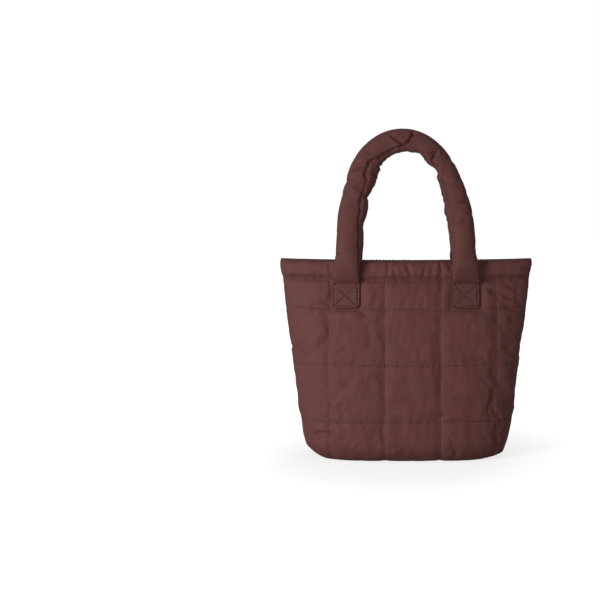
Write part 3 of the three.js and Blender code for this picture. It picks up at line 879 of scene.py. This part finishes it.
def handle_rings():
    marks = handle_marks()
    centres, where = spline([m[0] for m in marks], HANDLE_STEP)
    low = np.minimum(where.astype(int), len(marks) - 2)
    share = (where - low)[:, None]

    def between(column):
        values = np.array([np.atleast_1d(m[column]) for m in marks], float)
        return values[low] * (1 - share) + values[low + 1] * share

    along = np.gradient(centres, axis=0)
    along /= np.linalg.norm(along, axis=1, keepdims=True)
    out = between(1)
    out /= np.linalg.norm(out, axis=1, keepdims=True)
    right = np.cross(along, out)
    right /= np.linalg.norm(right, axis=1, keepdims=True)
    width, thickness, square = between(2), between(3), between(4)
    steps = np.linalg.norm(np.diff(centres, axis=0), axis=1)
    length = np.concatenate([[0], np.cumsum(steps)])
    from_end = np.minimum(length, length[-1] - length)[:, None]
    short = np.clip(TAB_CORNER - from_end, 0, TAB_CORNER)
    width = width - 2 * (TAB_CORNER - np.sqrt(TAB_CORNER ** 2 - short ** 2))
    arch = np.clip((where - len(LEG) + 1) / (len(ARCH) + 1), 0, 1)[:, None]
    return (centres, out, right, width, thickness, square, arch), length


def tube(centres, out, right, width, thickness, square, arch):
    turn = (np.arange(HANDLE_SIDES) + 0.5) / HANDLE_SIDES * 2 * math.pi
    cos, sin = np.cos(turn)[None, :], np.sin(turn)[None, :]
    inner = np.interp(arch, INNER_EDGE[:, 0], INNER_EDGE[:, 1])
    kept = 1 + (inner - 1) * np.maximum(cos, 0)
    flat = np.clip((square - 2.4) / 3, 0, 1)
    even = np.clip((np.abs(turn / math.pi - 1)[None, :] * 2 - 1) * 1.05, -0.995, 0.995)
    a = (1 - flat) * np.sign(cos) * np.abs(cos) ** (2 / square) + flat * even
    b = np.sign(sin) * (1 - np.abs(a) ** square) ** (1 / square) * thickness / 2
    a = a * width / 2 * kept
    return centres[:, None] + right[:, None] * a[..., None] + out[:, None] * b[..., None]


def handle_shape(simulated):
    rings_of_marks, length = handle_rings()
    centres, out, right, *section = rings_of_marks
    count = len(centres)
    rings = tube(centres, out, right, *section)
    straight = np.zeros_like(centres)
    straight[:, 2] = length
    axes = np.tile((0.0, -1.0, 0.0), (count, 1)), np.tile((1.0, 0, 0), (count, 1))
    cut = tube(straight, axes[0], axes[1], *section)
    index = np.arange(count * HANDLE_SIDES).reshape(count, HANDLE_SIDES)
    index = np.concatenate([index, index[:, :1]], axis=1)
    quads = grid_quads(index)
    caps = [index[0, :-1][::-1].tolist(), index[-1, :-1].tolist()]
    points = rings.reshape(-1, 3)
    drop = BAG_HEIGHT - centres[:, 2]
    turn = np.tile((np.arange(HANDLE_SIDES) + 0.5) / HANDLE_SIDES * 2 * math.pi, count)
    along = np.repeat(length, HANDLE_SIDES)
    cloth = np.column_stack([turn * HANDLE_WIDTH / 2, along])
    places = np.column_stack([np.cos(turn), np.sin(turn), along])
    if simulated:
        sewn = smooth((drop + 15) / (TAB_DROP + 12))
        hold = np.round(STUFFING_HOLD + (1 - STUFFING_HOLD) * sewn, 2)
        hold = np.repeat(hold, HANDLE_SIDES)
        hold[(np.sin(turn) < -0.3) & np.repeat(drop > -6, HANDLE_SIDES)] = 1
        settled = drape(points, quads, hold, HANDLE_GROWTH, HANDLE_PRESSURE, HANDLE_BENDING,
                        HANDLE_FRAMES, rest=cut.reshape(-1, 3))
        free = smooth((-5 - drop) / 40)
        points = limited(settled, points, HANDLE_MOST * np.repeat(free, HANDLE_SIDES)[:, None])
    return points, cloth, places, quads.tolist() + caps


def handle_wrinkles(cos, sin, along, whole):
    """How far folds and gathers lift the cloth of a handle."""
    turn = np.arctan2(sin, cos)
    round_tube = turn * HANDLE_WIDTH / 2
    lift = np.zeros_like(along)
    for marks, broad, deep in HANDLE_FOLDS:
        line = [(at, math.radians(angle) * HANDLE_WIDTH / 2) for at, angle in marks]
        lift += fold(along, round_tube, line, broad, deep, HANDLE_FOLD_BEND)
    inside = smooth((cos - 0.2) / 0.6) * smooth((np.minimum(along, whole - along) - 90) / 40)
    gathers = 0.7 * ripple(along + 2 * sin, 5.0, 501) + 0.8 * ripple(along - 3 * sin, 11.0, 502)
    lift += inside * gathers
    for size, lean, stretch, height, seed in HANDLE_DENTS:
        swing = 9 * sin
        lift += height * patches(9 * cos, along + swing, size, lean, stretch, seed)
    from_tab = np.minimum(along, whole - along) - TAB_LENGTH
    return lift * smooth(from_tab / 12)


def tab_grooves(points, along):
    """How far the stitching of a tab presses its cloth in, which leaves its edge standing."""
    half = TAB_WIDTH / 2 - STITCH_INSET
    low, high = STITCH_INSET, TAB_LENGTH - STITCH_INSET
    x = np.abs(points[:, 0]) - HANDLE_SPREAD / 2
    square = [(-half, low), (half, low), (half, high), (-half, high), (-half, low)]
    cross = [[(-half, low), (half, high)], [(half, low), (-half, high)]]
    depth = np.zeros_like(x)
    for line, share in ((square, 1.0), (cross[0], 0.8), (cross[1], 0.8)):
        beside, _ = from_line(x, along, line)
        depth = np.maximum(depth, share * TAB_GROOVE * np.exp(-(beside / TAB_GROOVE_WIDTH) ** 2))
    return depth * smooth((TAB_LENGTH + 2 - along) / 2)


def make_handle(name, shape, mirrored):
    points, cloth, places, faces = shape
    points, places = points.copy(), places.copy()
    if mirrored:
        points[:, 1] *= -1
        faces = [face[::-1] for face in faces]
    piece = new_object(name, points, faces, cloth, places)
    close_round(piece.data)
    subdivide(piece)
    mesh = piece.data
    cos, sin, along = get_places(mesh).T
    lift = handle_wrinkles(cos, sin, along, along.max())
    from_end = np.minimum(along, along.max() - along)
    lift -= tab_grooves(get_points(mesh), from_end) * smooth((sin - 0.05) / 0.1)
    set_points(mesh, get_points(mesh) + get_normals(mesh) * lift[:, None])
    piece.data.materials.append(handle_cloth)
    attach(piece, "root")
    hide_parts(name.replace("_cloth", ""))
    return piece


# Stitches

def finished_surface(piece):
    """The piece's surface to sew on, in millimetres."""
    mesh = piece.data
    points = get_points(mesh)
    polygons = [tuple(polygon.vertices) for polygon in mesh.polygons]
    return BVHTree.FromPolygons(points.tolist(), polygons)


def evenly(line, step):
    """Points of a line at even distances."""
    gaps = np.linalg.norm(np.diff(line, axis=0), axis=1)
    length = np.concatenate([[0], np.cumsum(gaps)])
    count = max(2, int(length[-1] / step))
    at = np.linspace(0, length[-1], count + 1)
    return np.stack([np.interp(at, length, line[:, k]) for k in range(3)], axis=1)


def sew(name, lines, surface, thread):
    """One mesh of all the stitches along lines, lying on the surface."""
    points, faces = [], []
    turn = np.arange(STITCH_SIDES) / STITCH_SIDES * 2 * math.pi
    for line in lines:
        marks = evenly(np.asarray(line), STITCH_PITCH / 2)
        for a, b in zip(marks[0:-1:2], marks[1::2]):
            spots = [surface.find_nearest(Vector(end)) for end in (a, b)]
            ends = [np.array(spot[0]) for spot in spots]
            up = np.array(spots[0][1])
            along = ends[1] - ends[0]
            size = np.linalg.norm(along)
            if size < 0.5:
                continue
            along /= size
            across = np.cross(along, up)
            grow = (STITCH_LENGTH / size - 1) / 2
            start = ends[0] - along * size * grow
            first = len(points)
            for share, wide, raised in STITCH_FORM:
                centre = start + along * STITCH_LENGTH * share + up * raised
                for angle in turn:
                    rim = across * math.cos(angle) + up * math.sin(angle)
                    points.append(centre + rim * wide * THREAD_WIDTH / 2)
            for r in range(len(STITCH_FORM) - 1):
                for k in range(STITCH_SIDES):
                    low, high = first + r * STITCH_SIDES, first + (r + 1) * STITCH_SIDES
                    n = (k + 1) % STITCH_SIDES
                    faces.append((low + k, low + n, high + n, high + k))
            last = first + (len(STITCH_FORM) - 1) * STITCH_SIDES
            faces.append(tuple(range(first + STITCH_SIDES - 1, first - 1, -1)))
            faces.append(tuple(range(last, last + STITCH_SIDES)))
    points = np.array(points)
    points[:, 2] = np.maximum(points[:, 2], 0)
    piece = new_object(name, points, faces)
    piece.data.materials.append(thread)
    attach(piece, "root")
    return piece


def panel_lines(piece):
    """The seams of a finished panel: those of its hem, and the quilting below it."""
    points, places = get_points(piece.data), get_places(piece.data)
    across, drop, side = places.T
    outer = side > 0.9
    hem, quilting = [], []

    def collect(lines, chosen, order):
        picked = np.flatnonzero(chosen & outer)
        picked = picked[np.argsort(order[picked])]
        for run in np.split(picked, np.flatnonzero(np.diff(order[picked]) > 12) + 1):
            if len(run) > 3:
                lines.append(points[run])

    clear = tab_press(across, drop, 0.5) < 0.01
    for seam in UPRIGHT_SEAMS:
        chosen = (np.abs(across - seam) < 0.05) & (drop > HEM_HEIGHT - 0.1)
        collect(quilting, chosen & (np.abs(across) < CORNER), drop)
    inside = np.abs(across) < PANEL_HALF - 3
    for seam in LEVEL_SEAMS:
        if seam < WALL_DROP:
            lines = hem if seam == HEM_HEIGHT else quilting
            collect(lines, (np.abs(drop - seam) < 0.05) & clear & inside, across)
    row = drop[outer & (drop > TOP_STITCH_DROP - 1)].min()
    collect(hem, (np.abs(drop - row) < 0.05) & inside, across)
    return hem, quilting


def tab_lines(sign, mirrored):
    """The square with its two diagonals that holds a tab down."""
    half, middle = TAB_WIDTH / 2 - STITCH_INSET, sign * HANDLE_SPREAD / 2
    low, high = TAB_DROP + TAB_LENGTH - STITCH_INSET, TAB_DROP + STITCH_INSET
    corners = [(-half, high), (half, high), (half, low), (-half, low)]
    lines = []
    for a, b in ((0, 1), (1, 2), (2, 3), (3, 0), (0, 2), (1, 3)):
        share = np.linspace(0, 1, 12)
        x = middle + corners[a][0] + (corners[b][0] - corners[a][0]) * share
        z = corners[a][1] + (corners[b][1] - corners[a][1]) * share
        reach = SEAM_THICKNESS / 2 + PUFF_HEIGHT * PRESSED_LOFT + HANDLE_CLEARANCE + TAB_THICKNESS + 1
        line = wall_points(x, z) + wall_normals(x, z) * reach
        if mirrored:
            line[:, 1] *= -1
        lines.append(line)
    return lines


# Materials

def node(tree, kind, inputs=(), **settings):
    made = tree.nodes.new(kind)
    for key, value in settings.items():
        setattr(made, key, value)
    for key, value in dict(inputs).items():
        if isinstance(value, bpy.types.NodeSocket):
            tree.links.new(value, made.inputs[key])
        else:
            made.inputs[key].default_value = value
    return made


def cloth_material(name, colour):
    """Matt nylon with a fine weave, soft crumples and a slightly uneven colour."""
    material = bpy.data.materials.new(name)
    material.use_nodes = True
    tree = material.node_tree
    tree.nodes.clear()
    place = node(tree, "ShaderNodeTexCoord").outputs["UV"]
    tone = node(tree, "ShaderNodeTexNoise", {"Vector": place, "Scale": 45.0, "Detail": 4.0})
    dark = tuple(c * (1 - COLOUR_CHANGE) for c in colour) + (1,)
    light = tuple(c * (1 + COLOUR_CHANGE) for c in colour) + (1,)
    mix = node(tree, "ShaderNodeMix", {"Factor": tone.outputs["Fac"]}, data_type="RGBA")
    mix.inputs[6].default_value, mix.inputs[7].default_value = dark, light
    crumple = node(tree, "ShaderNodeTexNoise", {"Vector": place, "Scale": 130.0, "Detail": 3.0,
                                                "Roughness": 0.55, "Distortion": 0.6})
    weave_x = node(tree, "ShaderNodeTexWave", {"Vector": place, "Scale": 500.0}, bands_direction="X")
    weave_y = node(tree, "ShaderNodeTexWave", {"Vector": place, "Scale": 500.0}, bands_direction="Y")
    weave = node(tree, "ShaderNodeMath", operation="MULTIPLY")
    tree.links.new(weave_x.outputs["Fac"], weave.inputs[0])
    tree.links.new(weave_y.outputs["Fac"], weave.inputs[1])
    coarse = node(tree, "ShaderNodeBump", {"Height": crumple.outputs["Fac"], "Strength": 0.25,
                                           "Distance": 0.0012})
    fine = node(tree, "ShaderNodeBump", {"Height": weave.outputs[0], "Strength": 0.15,
                                         "Distance": 0.0001, "Normal": coarse.outputs["Normal"]})
    shader = node(tree, "ShaderNodeBsdfPrincipled", {
        "Base Color": mix.outputs[2], "Normal": fine.outputs["Normal"], "Roughness": 0.72,
        "Sheen Weight": SHEEN, "Sheen Roughness": 0.45, "Specular IOR Level": 0.2,
    })
    node(tree, "ShaderNodeOutputMaterial", {"Surface": shader.outputs[0]})
    return material


def plain_material(name, colour, roughness):
    material = bpy.data.materials.new(name)
    material.use_nodes = True
    shader = material.node_tree.nodes["Principled BSDF"]
    shader.inputs["Base Color"].default_value = (*colour, 1)
    shader.inputs["Roughness"].default_value = roughness
    return material


panel_cloth = cloth_material("puffer_nylon", PANEL_COLOUR)
# The same nylon, a little darker: painted shade on the handle.
handle_cloth = cloth_material("puffer_nylon_handle", HANDLE_COLOUR_PAINTED_SHADE)
# Near-black thread for the hem and tabs: its own colour and painted shade of its grooves.
stitch_thread_painted_shade = plain_material("thread", THREAD_AND_PAINTED_SHADE_COLOUR, 0.6)
# Near-black quilting thread: its own colour and painted shade along the quilting lines.
quilting_thread_painted_shade = plain_material("quilting_thread_painted_shade", QUILTING_THREAD_AND_PAINTED_SHADE_COLOUR, 0.6)


# Camera, light and floor

def make_camera():
    data = bpy.data.cameras.new("camera")
    data.lens, data.sensor_width = LENS, SENSOR
    data.shift_x = -BAG_OFFSET
    camera = bpy.data.objects.new("camera", data)
    camera.location = (0, -CAMERA_DISTANCE, CAMERA_HEIGHT)
    camera.rotation_euler = (math.radians(90 - CAMERA_PITCH), 0, 0)
    bpy.context.scene.collection.objects.link(camera)
    bpy.context.scene.camera = camera


def soft_light(name, place, aim, size, power, glossy):
    data = bpy.data.lights.new(name, "AREA")
    data.shape, data.size, data.energy = "DISK", size, power
    light = bpy.data.objects.new(name, data)
    light.location = place
    light.rotation_euler = (Vector(aim) - Vector(place)).to_track_quat("-Z", "Y").to_euler()
    light.visible_glossy = glossy
    bpy.context.scene.collection.objects.link(light)


def floor_material():
    """White paper that glows brighter away from the bag, so that no horizon shows, and dimmer near it
    as a painted shadow.
    """
    paper = plain_material("white_floor", (FLOOR_TONE,) * 3, 0.95)
    tree = paper.node_tree
    shader = tree.nodes["Principled BSDF"]
    shader.inputs["Specular IOR Level"].default_value = 0.0
    place = node(tree, "ShaderNodeTexCoord").outputs["Object"]
    reach = node(tree, "ShaderNodeVectorMath", {0: place}, operation="LENGTH").outputs["Value"]
    # Emission dimmer near the bag: a painted shadow round the bag.
    painted_shadow_glow = node(tree, "ShaderNodeMapRange", {
        "Value": reach, "From Min": FLOOR_PAINTED_SHADOW_FROM, "From Max": FLOOR_PAINTED_SHADOW_TO,
        "To Min": FLOOR_PAINTED_SHADOW_GLOW, "To Max": 1.0,
    }, interpolation_type="SMOOTHSTEP")
    seen = node(tree, "ShaderNodeLightPath").outputs["Is Camera Ray"]
    # For other rays the floor gives off a little light away from the bag: painted light, as the floor
    # is no lamp.
    shine = node(tree, "ShaderNodeMapRange", {
        "Value": reach, "From Min": FLOOR_SHINE_FROM, "From Max": FLOOR_SHINE_TO,
        "To Min": 0.0, "To Max": FLOOR_SHINE,
    }, interpolation_type="SMOOTHSTEP")
    shown = node(tree, "ShaderNodeMix", {0: seen, 2: shine.outputs[0], 3: painted_shadow_glow.outputs[0]})
    tone = node(tree, "ShaderNodeMix", {0: seen, 6: (FLOOR_BOUNCE,) * 3 + (1,),
                                        7: (FLOOR_TONE,) * 3 + (1,)}, data_type="RGBA")
    tree.links.new(tone.outputs[2], shader.inputs["Base Color"])
    shader.inputs["Emission Color"].default_value = (1, 1, 1, 1)
    tree.links.new(shown.outputs[0], shader.inputs["Emission Strength"])
    return paper


def make_studio():
    scene = bpy.context.scene
    scene.view_settings.view_transform = "Standard"
    world = bpy.data.worlds.new("studio")
    world.use_nodes = True
    tree = world.node_tree
    tree.nodes.clear()
    white = node(tree, "ShaderNodeBackground", {"Color": (1, 1, 1, 1), "Strength": 1.0})
    soft = node(tree, "ShaderNodeBackground", {"Color": (1, 1, 1, 1), "Strength": AMBIENT})
    seen = node(tree, "ShaderNodeLightPath").outputs["Is Camera Ray"]
    both = node(tree, "ShaderNodeMixShader", {0: seen, 1: soft.outputs[0], 2: white.outputs[0]})
    node(tree, "ShaderNodeOutputWorld", {"Surface": both.outputs[0]})
    scene.world = world
    floor_mesh = bpy.data.meshes.new("floor")
    corners = [(x * FLOOR_HALF, y * FLOOR_HALF, 0) for x, y in ((-1, -1), (1, -1), (1, 1), (-1, 1))]
    floor_mesh.from_pydata(corners, [], [(0, 1, 2, 3)])
    floor = bpy.data.objects.new("floor", floor_mesh)
    scene.collection.objects.link(floor)
    floor_mesh.materials.append(floor_material())
    for light in LIGHTS:
        soft_light(*light)


make_camera()
make_studio()
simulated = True
panel = panel_shape(simulated)
handle = handle_shape(simulated)
for name, back in (("front", False), ("back", True)):
    cloth_piece = make_panel(f"{name}_panel_cloth", panel, turned=back)
    surface = finished_surface(cloth_piece)
    hem_lines, quilting_lines = panel_lines(cloth_piece)
    sew(f"{name}_hem_stitches", hem_lines, surface, stitch_thread_painted_shade)
    sew(f"{name}_quilting", quilting_lines, surface, quilting_thread_painted_shade)
    tube_piece = make_handle(f"{name}_handle_cloth", handle, mirrored=back)
    lines = tab_lines(-1, back) + tab_lines(1, back)
    sew(f"{name}_tab_stitches", lines, finished_surface(tube_piece), stitch_thread_painted_shade)
